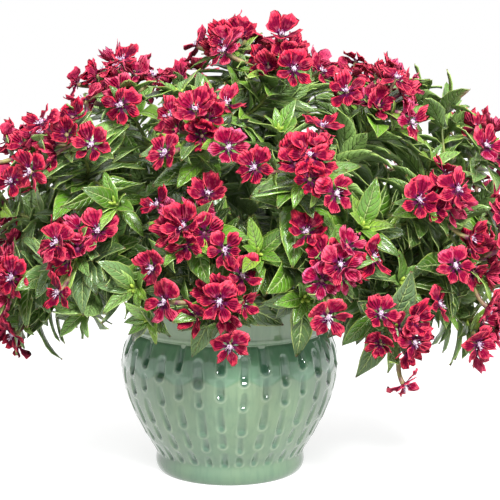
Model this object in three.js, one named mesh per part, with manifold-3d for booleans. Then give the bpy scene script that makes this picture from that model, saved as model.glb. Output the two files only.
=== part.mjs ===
// A potted cuphea: a broad mound of leafy stems and sprays of six-petalled blooms, in a round
// glazed pot filled with soil. Millimetres, +Z up. The origin is the centre of the pot's flat
// base, and the front faces -Y.

import * as THREE from "three";
import { mergeVertices } from "three/addons/utils/BufferGeometryUtils.js";
import Module from "manifold-3d";

const wasm = await Module();
wasm.setup();

// Pot and soil
const potHeight = 162;
const bellyRadius = 100;
const potFacets = 28;
const potWall = 7;
const potFloor = 12;
const soilLevel = 140;
const seatGap = 0.3;

// Mound: the shell on which the branch tips lie
const moundCentreX = 20;
const moundReachX = 214;
const moundReachY = 168;
const moundMiddleZ = 205;
const moundRise = 148;
const moundFall = 114;
const moundSquareness = 2.8;
const lowestStemAngle = 120;
const firstAzimuth = 1.94;

// Stems
const seed = 9163;
const stemCount = 14;
const branchSpread = 18;
const stemRadius = 2.2;
const branchRadius = 1.6;
const rootDepth = 12;
const crownRadius = 46;
const trunkSides = 4;
const trunkSteps = 6;
const branchSides = 3;
const branchSteps = 3;

// Blooms
const stalkRadius = 1.5;
const tubeLength = 25;
const throatLift = 0.8;
const throatDepth = 3.6;
const tubeRadius = 2.4;
const tubeSides = 3;
const petalLength = 17.5;
const sideTilt = 70;
const sideReachShare = 1.5;
const sideReachVary = 8;
const fullSprayShare = 0.2;

// Leaves
const leafThickness = 1.3;
const leafWidthShare = 0.44;
const leafRings = [
  [0, 0],
  [0.28, 0.95],
  [0.66, 0.8],
  [1, 0],
];

const up = new THREE.Vector3(0, 0, 1);
const sideAxis = new THREE.Vector3(0, 1, 0);

// How far the tallest spray leans from its place on the shell
const peak = new THREE.Vector3(42, -6, 22);
const radians = THREE.MathUtils.degToRad;

const glaze = { color: 0x8fb09a, roughness: 0.18, metalness: 0 };
const soilBrown = { color: 0x3a2a20, roughness: 0.95, metalness: 0 };
const leafGreen = { color: 0x4f7a38, roughness: 0.55, metalness: 0 };
const petalRed = { color: 0xa8173c, roughness: 0.6, metalness: 0 };

// A number from 0 to 1 that depends only on the whole numbers given
function draw(...keys) {
  let h = seed;
  for (const key of keys) {
    h = Math.imul(h ^ key, 0x9e3779b1);
    h ^= h >>> 15;
  }
  h = Math.imul(h, 0x85ebca6b);
  h ^= h >>> 13;
  return (h >>> 0) / 4294967296;
}

// The same, spread evenly from -size to size
function wobble(size, ...keys) {
  return size * (2 * draw(...keys) - 1);
}

// a*i + b*j + ... for pairs of a vector and a number
function blend(...pairs) {
  const sum = new THREE.Vector3();
  for (const [vector, share] of pairs) sum.addScaledVector(vector, share);
  return sum;
}

// A unit vector along the given one, turned square to the axis
function squareTo(vector, axis) {
  return vector.clone().addScaledVector(axis, -vector.dot(axis)).normalize();
}

// Two unit vectors square to an axis and to each other
function sidesOf(axis) {
  const first = squareTo(Math.abs(axis.z) < 0.9 ? up : new THREE.Vector3(1, 0, 0), axis);
  return [first, new THREE.Vector3().crossVectors(axis, first)];
}

function bare(geometry) {
  geometry.deleteAttribute("uv");
  geometry.deleteAttribute("normal");
  return mergeVertices(geometry);
}

// A globe whose vertices are set by a function of their column and ring; where neighbours fall
// on one point the triangles between them go
function shapedGlobe(columns, rings, place) {
  const globe = new THREE.SphereGeometry(1, columns, rings);
  const position = globe.attributes.position;
  for (let i = 0; i < position.count; i++) {
    const column = (i % (columns + 1)) % columns;
    position.setXYZ(i, ...place(column, Math.floor(i / (columns + 1))));
  }
  const geometry = bare(globe);
  const corners = geometry.index.array;
  const kept = [];
  for (let i = 0; i < corners.length; i += 3) {
    const [a, b, c] = corners.slice(i, i + 3);
    if (a !== b && b !== c && c !== a) kept.push(a, b, c);
  }
  geometry.setIndex(kept);
  return geometry;
}

function solidOf(geometry) {
  const closed = geometry.attributes.uv ? bare(geometry) : geometry;
  return new wasm.Manifold(
    new wasm.Mesh({
      numProp: 3,
      vertProperties: new Float32Array(closed.attributes.position.array),
      triVerts: new Uint32Array(closed.index.array),
    }),
  );
}

function regularSection(radius, sides) {
  const corners = [];
  for (let i = 0; i < sides; i++) {
    const angle = (2 * Math.PI * i) / sides;
    corners.push(new THREE.Vector2(radius * Math.cos(angle), radius * Math.sin(angle)));
  }
  return new THREE.Shape(corners);
}

function tubeAlong(curve, radius, sides, steps) {
  const settings = { extrudePath: curve, steps, curveSegments: 1 };
  return solidOf(new THREE.ExtrudeGeometry(regularSection(radius, sides), settings));
}

// A straight tapered rod between two points
function rodBetween(from, to, startRadius, endRadius, sides) {
  const along = to.clone().sub(from);
  const geometry = new THREE.CylinderGeometry(endRadius, startRadius, along.length(), sides, 1);
  const turn = new THREE.Quaternion().setFromUnitVectors(sideAxis, along.clone().normalize());
  geometry.applyQuaternion(turn);
  const middle = from.clone().add(to).multiplyScalar(0.5);
  geometry.translate(middle.x, middle.y, middle.z);
  return solidOf(geometry);
}

// Pot: a flared foot, a belly, a shoulder groove and a plain collar
function lathed(profile) {
  const geometry = new THREE.LatheGeometry(profile.map(([r, z]) => new THREE.Vector2(r, z)), potFacets);
  geometry.rotateX(Math.PI / 2);
  return solidOf(geometry);
}

function innerRadius(z) {
  const points = [
    [potFloor, 0.57 * bellyRadius],
    [0.4 * potHeight, 0.75 * bellyRadius],
    [0.62 * potHeight, bellyRadius - potWall],
    [potHeight, 0.86 * bellyRadius],
  ];
  const next = Math.max(1, points.findIndex(([height]) => height >= z - 1e-6));
  const [z0, r0] = points[next - 1];
  const [z1, r1] = points[next];
  return r0 + ((r1 - r0) * (z - z0)) / (z1 - z0);
}

function potSolid() {
  const heights = [potHeight, 0.62 * potHeight, 0.4 * potHeight, potFloor];
  return lathed([
    [0, 0],
    [0.66 * bellyRadius, 0],
    [0.693 * bellyRadius, 5],
    [0.69 * bellyRadius, 11],
    [0.675 * bellyRadius, 17],
    [0.76 * bellyRadius, 30],
    [0.87 * bellyRadius, 51],
    [0.945 * bellyRadius, 69],
    [0.99 * bellyRadius, 88],
    [bellyRadius, 103],
    [0.98 * bellyRadius, 115],
    [0.925 * bellyRadius, 128],
    [0.91 * bellyRadius, 131],
    [0.925 * bellyRadius, 148],
    [0.94 * bellyRadius, potHeight - 3],
    [0.925 * bellyRadius, potHeight],
    ...heights.map((z) => [innerRadius(z), z]),
    [0, potFloor],
  ]);
}

// Soil: fills the pot, with a plain hole for each stem
function soilSolid(stems) {
  const below = [potFloor + seatGap, 0.4 * potHeight, 0.62 * potHeight, soilLevel - 4];
  const body = lathed([
    [0, potFloor + seatGap],
    ...below.map((z) => [innerRadius(z) - 2 * seatGap, z]),
    [0.6 * bellyRadius, soilLevel],
    [0, soilLevel],
  ]);
  const holes = stems.map(({ root, lean }) =>
    rodBetween(
      blend([root, 1], [lean, -2 * seatGap]),
      blend([root, 1], [lean, 2.5 * rootDepth]),
      stemRadius + 4 * seatGap,
      stemRadius + 5 * seatGap,
      5,
    ),
  );
  return body.subtract(wasm.Manifold.union(holes));
}

// Where the mound's shell lies in a direction from its middle: a dome with a rather flat top
function shellPoint(direction) {
  const level = Math.hypot(direction.x, direction.y);
  const fullness = Math.pow(
    Math.pow(level, moundSquareness) + Math.pow(Math.abs(direction.z), moundSquareness),
    -1 / moundSquareness,
  );
  const sideways = (direction.x / (level + 1e-9)) ** 2;
  const reachZ = direction.z > 0 ? moundRise : moundFall * (0.7 + 0.3 * sideways);
  return new THREE.Vector3(
    moundCentreX + moundReachX * fullness * direction.x,
    moundReachY * fullness * direction.y,
    moundMiddleZ + reachZ * fullness * direction.z,
  );
}

// Stems: spaced by the golden angle, each with its own tip and two side branches on the shell
function planStems() {
  const golden = Math.PI * (3 - Math.sqrt(5));
  const tips = [];
  const stems = [];
  for (let i = 0; i < stemCount; i++) {
    const share = (i + 0.5) / stemCount;
    const polar = Math.acos(1 - share * (1 - Math.cos(radians(lowestStemAngle))));
    const azimuth = i * golden + firstAzimuth;
    const direction = new THREE.Vector3(
      Math.sin(polar) * Math.cos(azimuth),
      Math.sin(polar) * Math.sin(azimuth),
      Math.cos(polar),
    );
    const crown = crownRadius * Math.sqrt(share);
    const root = new THREE.Vector3(
      crown * Math.cos(azimuth),
      crown * Math.sin(azimuth),
      soilLevel - rootDepth,
    );
    const [lead, ...others] = planTips(i, direction, tips);
    const reach = lead.tip.distanceTo(root);
    const arch = 0.9 * Math.max(0, -direction.z);
    lead.curve = new THREE.CubicBezierCurve3(
      root,
      blend([root, 1], [up, (0.4 + arch) * reach], [direction, 0.06 * reach]),
      blend([lead.tip, 1], [lead.heading, -0.42 * reach]),
      lead.tip,
    );
    lead.points = lead.curve.getSpacedPoints(trunkSteps);
    for (const [n, branch] of others.entries()) {
      const step = trunkSteps - 3 + n;
      const start = lead.points[step].clone().lerp(lead.points[step + 1], 0.3 + 0.25 * n);
      const along = lead.points[step + 1].clone().sub(lead.points[step]).normalize();
      const length = branch.tip.distanceTo(start);
      const straight = branch.tip.clone().sub(start).normalize();
      branch.curve = new THREE.CubicBezierCurve3(
        start,
        blend([start, 1], [straight, 0.25 * length], [along, 0.12 * length]),
        blend([branch.tip, 1], [branch.heading, -0.35 * length]),
        branch.tip,
      );
      branch.points = branch.curve.getSpacedPoints(branchSteps);
    }
    const lean = lead.points[1].clone().sub(root).normalize();
    stems.push({ root, lean, low: polar > radians(60), branches: [lead, ...others] });
  }
  return stems;
}

// The three tips of a stem turn about it to lie furthest from the tips before them
function planTips(stem, direction, tips) {
  const [first, second] = sidesOf(direction);
  const spread = Math.tan(radians(branchSpread));
  const fans = [0, 20, 40, 60, 80, 100].map((turn) =>
    [0, 120, 240].map((step) => {
      const angle = radians(turn + step);
      return blend(
        [direction, 1],
        [first, spread * Math.cos(angle)],
        [second, spread * Math.sin(angle)],
      ).normalize();
    }),
  );
  const rooms = fans.map((fan) => Math.min(2, ...fan.flatMap((a) => tips.map((b) => a.distanceTo(b)))));
  const chosen = fans[rooms.indexOf(Math.max(...rooms))];
  tips.push(...chosen);
  return chosen.map((towards, k) => {
    const heading = blend([towards, 1], [up, 0.3]).normalize();
    const tip = shellPoint(towards).addScaledVector(heading, wobble(11, stem, k, 1));
    return { heading, tip: stem === 0 && k === 2 ? tip.add(peak) : tip };
  });
}

// Flowers: one stands on the branch tip and the others of its spray spring from its tube
function planFlower(spray, count, tip, heading, k, attempt, crown) {
  const [first, second] = sidesOf(heading);
  const swing = attempt % 2 ? 7 * attempt : -7 * attempt;
  const ownTurn = (360 / (count - 1)) * k + wobble(10, spray, k, 2);
  const turn = radians(wobble(180, spray, 7) + ownTurn + swing);
  const tilt = radians(
    crown ? sideTilt + wobble(9, spray, k, 3) - 2 * attempt : 10 + wobble(8, spray, k, 3) + 4 * attempt,
  );
  const away = blend(
    [heading, Math.cos(tilt)],
    [first, Math.sin(tilt) * Math.cos(turn)],
    [second, Math.sin(tilt) * Math.sin(turn)],
  );
  const start = crown
    ? blend([crown.start, 1], [crown.away, 3 + 2.5 * k])
    : blend([tip, 1], [heading, seatGap]);
  const share = crown ? sideReachShare : 1.55;
  const reach = share * tubeLength + wobble(sideReachVary, spray, k, 4) + 0.7 * attempt;
  const throat = blend([start, 1], [away, reach]);
  const outside = new THREE.Vector3(throat.x - moundCentreX, throat.y, 0).normalize();
  const facing = blend([away, 1], [heading, 0.55], [outside, 0.5], [up, 0.12]).normalize();
  const size = 1 + wobble(0.08, spray, k, 5);
  return { start, throat, away, heading, facing, size, twist: radians(wobble(18, spray, k, 6)) };
}

// Each petal's angle from the flower's top, half its width in degrees, and its share of the length
const petals = [
  [-32, 28, 1],
  [32, 28, 1],
  [93, 20, 0.96],
  [150, 19, 0.94],
  [210, 19, 0.94],
  [267, 20, 0.96],
];

// Three columns a petal: the notch before it and the two corners of its end
function petalCorner(column) {
  const [angle, half, share] = petals[Math.floor(column / 3)];
  const before = petals[(Math.floor(column / 3) + 5) % 6][0] - (column < 3 ? 360 : 0);
  const corner = [
    [0.36, (before + angle) / 2, -0.2],
    [share, angle - half, 1.6],
    [share, angle + half, 0.4],
  ];
  return corner[column % 3];
}

// One closed solid a flower: throat, petals, then the calyx tube down to its start; the first
// of a spray stands on a flat foot
function flowerSolid({ start, throat, away, heading, facing, size, twist }, footed) {
  const upright = squareTo(Math.abs(facing.z) < 0.95 ? up : away, facing);
  const across = new THREE.Vector3().crossVectors(facing, upright);
  const onRing = (centre, axis, radius, angle, lift) => {
    const [a, b] = axis === facing ? [upright, across] : [squareTo(upright, axis)];
    const sideways = b ?? new THREE.Vector3().crossVectors(axis, a);
    return blend(
      [centre, 1],
      [a, radius * Math.cos(angle)],
      [sideways, radius * Math.sin(angle)],
      [axis, lift],
    );
  };
  const tubeAngle = (column) => twist + radians(120 * Math.floor((column * tubeSides) / 18) - 10);
  const rings = [
    () => onRing(throat, facing, 0, 0, throatLift),
    (column) => {
      const [radius, angle, lift] = petalCorner(column);
      return onRing(throat, facing, radius * petalLength * size, twist + radians(angle), lift * size);
    },
    (column) => onRing(throat, facing, tubeRadius, tubeAngle(column), -throatDepth),
  ];
  if (footed) rings.push((column) => onRing(start, heading, stalkRadius, tubeAngle(column), 0));
  rings.push(() => start);
  return solidOf(shapedGlobe(18, rings.length - 1, (column, ring) => rings[ring](column).toArray()));
}

// Leaves: opposite pairs, each pair turned square to the one below it
function planLeaf(points, t, stem, item, side, length, attempt) {
  const place = t * (points.length - 1);
  const step = Math.floor(place);
  const along = points[step + 1].clone().sub(points[step]).normalize();
  const [first, second] = sidesOf(along);
  const swings = [0, 24, -24, 48, -48, 12, -36, 66];
  const turn = radians(wobble(40, stem, item, 8) + 90 * (item % 2) + 180 * side + swings[attempt]);
  const sideways = blend([first, Math.cos(turn)], [second, Math.sin(turn)]);
  const open = radians(62 + wobble(12, stem, item, side, 9) + 5 * attempt);
  const direction = blend([along, Math.cos(open)], [sideways, Math.sin(open)]);
  const base = points[step].clone().lerp(points[step + 1], place - step).addScaledVector(sideways, 0.5);
  const face = blend([along, Math.sin(open)], [sideways, -Math.cos(open)], [up, 0.55]);
  const long = length * (1 + wobble(0.1, stem, item, side, 10)) * (attempt > 4 ? 0.85 : 1);
  return {
    base,
    direction,
    face: squareTo(face, direction),
    length: long,
    width: long * (leafWidthShare + wobble(0.04, stem, item, side, 11)),
    droop: radians(48 + wobble(22, stem, item, side, 12)),
    fold: radians(16),
  };
}

// A blade folded along its midrib; each ring has its place along the blade and share of its width
function leafSolid(leaf, extra = 0) {
  const across = new THREE.Vector3().crossVectors(leaf.direction, leaf.face);
  return solidOf(
    shapedGlobe(4, leafRings.length - 1, (column, ring) => {
      const [t, share] = leafRings[ring];
      const side = [1, 0, -1, 0][column];
      const layer = [0, 1, 0, -1][column];
      const bend = leaf.droop * t;
      const forward = (leaf.length * Math.sin(bend)) / leaf.droop;
      const sink = (-leaf.length * (1 - Math.cos(bend))) / leaf.droop;
      const normal = blend([leaf.face, Math.cos(bend)], [leaf.direction, Math.sin(bend)]);
      const half = share && side * (0.5 * leaf.width * share + extra);
      const layered = share && layer * (0.5 * leafThickness + extra);
      const height = layered + Math.abs(half) * Math.sin(leaf.fold);
      return blend(
        [leaf.base, 1],
        [leaf.direction, forward],
        [leaf.face, sink],
        [normal, height],
        [across, half * Math.cos(leaf.fold)],
      ).toArray();
    }),
  );
}

// What is already placed, for asking whether a new piece is clear of it
const placed = [];

function boxesMeet(a, b) {
  return [0, 1, 2].every((i) => a.min[i] <= b.max[i] && b.min[i] <= a.max[i]);
}

function place(solid, owner) {
  placed.push({ solid, owner, box: solid.boundingBox() });
}

function isClear(solid, ignored) {
  const box = solid.boundingBox();
  const near = placed.filter((other) => !ignored.includes(other.owner) && boxesMeet(box, other.box));
  return near.every((other) => other.solid.intersect(solid).isEmpty());
}

// The first of several attempts whose test solids are clear of all but what each may touch
function firstClear(attempts, plan, tests) {
  for (let attempt = 0; attempt < attempts; attempt++) {
    const item = plan(attempt);
    if (tests(item).every(([solid, ignored]) => isClear(solid, ignored))) return item;
  }
  return null;
}

function meshOf(solid, name, look, origin) {
  const { vertProperties, triVerts } = solid.getMesh();
  const geometry = new THREE.BufferGeometry();
  geometry.setAttribute("position", new THREE.BufferAttribute(new Float32Array(vertProperties), 3));
  geometry.setIndex(new THREE.BufferAttribute(new Uint32Array(triVerts), 1));
  geometry.translate(-origin.x, -origin.y, -origin.z);
  geometry.computeVertexNormals();
  const mesh = new THREE.Mesh(geometry, new THREE.MeshStandardMaterial(look));
  mesh.name = name;
  mesh.position.copy(origin);
  return mesh;
}

const numbered = (word, index) => word + "_" + String(index + 1).padStart(2, "0");

const stems = planStems();
const pot = potSolid();
const soil = soilSolid(stems);
place(pot, "pot");
place(soil, "soil");

// Woody parts first
for (const [i, stem] of stems.entries()) {
  stem.name = numbered("stem", i);
  stem.solids = stem.branches.map(({ curve }, k) =>
    k
      ? tubeAlong(curve, branchRadius, branchSides, branchSteps)
      : tubeAlong(curve, stemRadius, trunkSides, trunkSteps),
  );
  for (const solid of stem.solids) place(solid, stem.name);
}

// Then the blooms
const sprays = [];
for (const [i, stem] of stems.entries()) {
  for (const [k, { tip, heading }] of stem.branches.entries()) {
    const index = 3 * i + k;
    const name = numbered("bloom", index);
    const solids = [];
    let crown = null;
    const count = draw(index, 13) < fullSprayShare ? 5 : 4;
    for (let n = 0; n < count; n++) {
      const flower = firstClear(
        12,
        (attempt) => planFlower(index, count, tip, heading, n, attempt, crown),
        (item) => {
          const roomy = { ...item, size: 1.04 * item.size };
          const faceOnly = { ...roomy, start: blend([item.throat, 1], [item.away, -9]) };
          return [
            [flowerSolid(roomy, !crown), [name]],
            [flowerSolid(faceOnly), []],
          ];
        },
      );
      if (!flower) continue;
      solids.push(flowerSolid(flower, !crown));
      place(solids.at(-1), name);
      crown ??= flower;
    }
    sprays.push({ name, tip, solids });
  }
}

// And the leaves in the room that is left
for (const [i, stem] of stems.entries()) {
  const seats = stem.branches.map(({ points }, k) => ({ points, at: k ? [0.94, 0.6] : [0.97, 0.84] }));
  if (stem.low) seats[0].at.push(0.62);
  let item = 0;
  for (const seat of seats) {
    for (const t of seat.at) {
      item++;
      for (const side of [0, 1]) {
        const length = t > 0.9 ? 50 : 60;
        const leaf = firstClear(
          8,
          (attempt) => planLeaf(seat.points, t, i, item, side, length, attempt),
          (plan) => [[leafSolid(plan, 0.5), [stem.name]]],
        );
        if (!leaf) continue;
        const solid = leafSolid(leaf);
        place(solid, stem.name + " leaf");
        stem.solids.push(solid);
      }
    }
  }
}

const root = new THREE.Group();
const holder = new THREE.Group();
const plant = new THREE.Group();
holder.add(meshOf(pot, "pot", glaze, new THREE.Vector3()));
holder.add(meshOf(soil, "soil", soilBrown, new THREE.Vector3(0, 0, potFloor)));
for (const { solids, name, root: foot } of stems) {
  plant.add(meshOf(wasm.Manifold.union(solids), name, leafGreen, foot));
}
for (const { solids, name, tip } of sprays) {
  plant.add(meshOf(wasm.Manifold.union(solids), name, petalRed, tip));
}
root.add(holder, plant);

export default root;
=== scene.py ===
import math

import bmesh
import bpy
import numpy as np
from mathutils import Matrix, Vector
from mathutils.kdtree import KDTree


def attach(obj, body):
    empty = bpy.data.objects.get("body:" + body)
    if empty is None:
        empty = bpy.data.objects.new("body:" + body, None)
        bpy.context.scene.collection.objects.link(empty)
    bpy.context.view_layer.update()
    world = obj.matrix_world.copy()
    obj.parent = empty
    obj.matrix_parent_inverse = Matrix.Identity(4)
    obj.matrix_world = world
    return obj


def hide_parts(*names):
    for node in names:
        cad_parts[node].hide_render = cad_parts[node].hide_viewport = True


# A potted cuphea in a carved celadon pot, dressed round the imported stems, sprays, soil and pot.
# Blender works in metres; the plans below are in millimetres, as the plant's own drawing is.

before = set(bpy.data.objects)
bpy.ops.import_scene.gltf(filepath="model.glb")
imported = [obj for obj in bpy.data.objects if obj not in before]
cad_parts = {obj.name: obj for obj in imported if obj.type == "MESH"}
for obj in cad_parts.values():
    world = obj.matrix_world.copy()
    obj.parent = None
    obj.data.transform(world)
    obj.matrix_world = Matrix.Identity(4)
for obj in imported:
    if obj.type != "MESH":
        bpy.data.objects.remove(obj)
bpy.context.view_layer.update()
mm = 0.001

camera = {"place": (0.0186, -1.275, 0.3828), "pitch": -8.07, "view": 20.13}


def newObject(name, data):
    item = bpy.data.objects.new(name, data)
    bpy.context.scene.collection.objects.link(item)
    return item


def placeCamera():
    data = bpy.data.cameras.new("camera")
    data.angle = math.radians(camera["view"])
    data.clip_start = 0.05
    data.clip_end = 40
    eye = newObject("camera", data)
    eye.location = camera["place"]
    eye.rotation_euler = (math.radians(90 + camera["pitch"]), 0, 0)
    bpy.context.scene.camera = eye


placeCamera()
print("camera placed")


# Materials: sRGB hex to the linear colour that Blender's sockets take
def colour(hexValue):
    parts = [(hexValue >> shift & 255) / 255 for shift in (16, 8, 0)]
    return [c / 12.92 if c <= 0.04045 else ((c + 0.055) / 1.055) ** 2.4 for c in parts] + [1]


# Adds a node with its settings, gives each input a value or the output that feeds it, and
# returns the output to read next; "stops" are a colour ramp's places with a hex colour or a share
def addNode(tree, kind, settings, inputs, output=0):
    node = tree.nodes.new("ShaderNode" + kind)
    for name, value in settings.items():
        if name == "stops":
            marks = node.color_ramp.elements
            while len(marks) < len(value):
                marks.new(0.5)
            for mark, (place, level) in zip(marks, value):
                mark.position = place
                mark.color = colour(level) if isinstance(level, int) else (level, level, level, 1)
        elif name == "interpolation":
            node.color_ramp.interpolation = value
        else:
            setattr(node, name, value)
    for socket, value in inputs.items() if isinstance(inputs, dict) else enumerate(inputs):
        if isinstance(value, bpy.types.NodeSocket):
            tree.links.new(value, node.inputs[socket])
        else:
            node.inputs[socket].default_value = value
    return node.outputs[output]


# What a Math or Mix node is set to
absolute = {"operation": "ABSOLUTE"}
add = {"operation": "ADD"}
maximum = {"operation": "MAXIMUM"}
multiply = {"operation": "MULTIPLY"}
multiplyAdd = {"operation": "MULTIPLY_ADD"}
power = {"operation": "POWER"}
sine = {"operation": "SINE"}
mixColours = {"data_type": "RGBA"}


# A material with its shader, which gets the values that are the same all over
def newMaterial(name, values):
    material = bpy.data.materials.new(name)
    material.use_nodes = True
    tree = material.node_tree
    shader = next(n for n in tree.nodes if n.type == "BSDF_PRINCIPLED")
    for socket, value in values.items():
        shader.inputs[socket].default_value = value
    return material, tree, shader


# Celadon-glazed stoneware, wheel-thrown and carved: a thick glossy glass that pools dark and
# blue-green in the prints, runs down in streaks and thins to a paler, warmer tint on their rims;
# that pale tint is also a painted highlight on each print's lower lip, and the sunk band under
# the collar and the lower pot are darkened with painted shade
def glazeMaterial():
    look = {
        "body": 0x657e62, "warm": 0x748966, "pool": 0x2a5042, "thin": 0xb4c0a6, "shade": 0x558266,
    }
    values = {"Roughness": 0.1, "IOR": 1.52, "Coat Weight": 0.7, "Coat Roughness": 0.03}
    material, tree, shader = newMaterial("celadonGlaze", values)
    place = addNode(tree, "TexCoord", {}, {}, "Object")
    height = addNode(tree, "SeparateXYZ", {}, [place], "Z")
    height = addNode(tree, "Math", multiply, [height, 10])
    drawn = addNode(tree, "Mapping", {}, {"Vector": place, "Scale": (1, 1, 0.18)})
    # firing clouds of 70 mm, patches of 11 mm, mottle of 6 mm, and runs of 5 mm by 30 mm
    clouds = addNode(tree, "TexNoise", {}, {"Vector": place, "Scale": 14, "Detail": 4})
    patches = addNode(tree, "TexNoise", {}, {"Vector": place, "Scale": 90, "Detail": 3})
    mottle = addNode(tree, "TexNoise", {}, {"Vector": place, "Scale": 160, "Detail": 3})
    runs = addNode(tree, "TexNoise", {}, {"Vector": drawn, "Scale": 190, "Detail": 3})
    clouds = addNode(tree, "ValToRGB", {"stops": [(0.35, 0.0), (0.7, 1.0)]}, [clouds])
    patches = addNode(tree, "ValToRGB", {"stops": [(0.36, 0.62), (0.62, 1.0)]}, [patches])
    mottle = addNode(tree, "Math", multiply, [mottle, 0.25])
    runs = addNode(tree, "ValToRGB", {"stops": [(0.45, 0.0), (0.7, 0.26)]}, [runs])
    # painted shade: the glaze is darker towards the foot
    paintedFootShade = [(0.0, 0.42), (0.75, 0.12), (1.0, 0.0)]
    thick = addNode(tree, "ValToRGB", {"stops": paintedFootShade}, [height])
    # painted shade in the sunk band under the collar
    shoulder = addNode(tree, "Attribute", {"attribute_name": "shoulder"}, {}, "Fac")
    shoulder = addNode(tree, "Math", multiply, [shoulder, 0.65])
    pool = addNode(tree, "Attribute", {"attribute_name": "pool"}, {}, "Fac")
    pool = addNode(tree, "Math", multiply, [pool, patches])
    pool = addNode(tree, "Math", multiply, [pool, 0.95])
    # pale thin glaze on the prints' rims, which is also a painted highlight, strongest on each print's
    # lower lip
    rim = addNode(tree, "Attribute", {"attribute_name": "rim"}, {}, "Fac")
    rim = addNode(tree, "Math", multiply, [rim, patches])
    rim = addNode(tree, "Math", multiply, [rim, 0.34])
    base = colour(look["body"])
    layers = [(clouds, "warm"), (mottle, "shade"), (shoulder, "shade"), (runs, "pool")]
    layers += [(thick, "pool"), (pool, "pool"), (rim, "thin")]
    for share, top in layers:
        base = addNode(tree, "Mix", mixColours, {0: share, 6: base, 7: colour(look[top])}, 2)
    tree.links.new(base, shader.inputs["Base Color"])
    # slow waves in the glass, 22 mm
    waves = addNode(tree, "TexNoise", {}, {"Vector": place, "Scale": 45, "Detail": 2})
    bump = addNode(tree, "Bump", {}, {"Height": waves, "Distance": 0.0004, "Strength": 0.5})
    tree.links.new(bump, shader.inputs["Normal"])
    return material


# Peat-based potting mix, crumbled: dark, dry and quite rough, with grains of 2 to 3 mm
def soilMaterial():
    material, tree, shader = newMaterial("pottingMix", {"Roughness": 0.95, "IOR": 1.4})
    place = addNode(tree, "TexCoord", {}, {}, "Object")
    values = {"Vector": place, "Scale": 420, "Detail": 5, "Roughness": 0.7}
    grains = addNode(tree, "TexNoise", {}, values)
    shades = [(0.3, 0x160f0b), (0.55, 0x3a2a1f), (0.8, 0x6b523c)]
    shade = addNode(tree, "ValToRGB", {"stops": shades}, [grains])
    tree.links.new(shade, shader.inputs["Base Color"])
    bump = addNode(tree, "Bump", {}, {"Height": grains, "Distance": 0.002, "Strength": 1})
    tree.links.new(bump, shader.inputs["Normal"])
    return material


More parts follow.
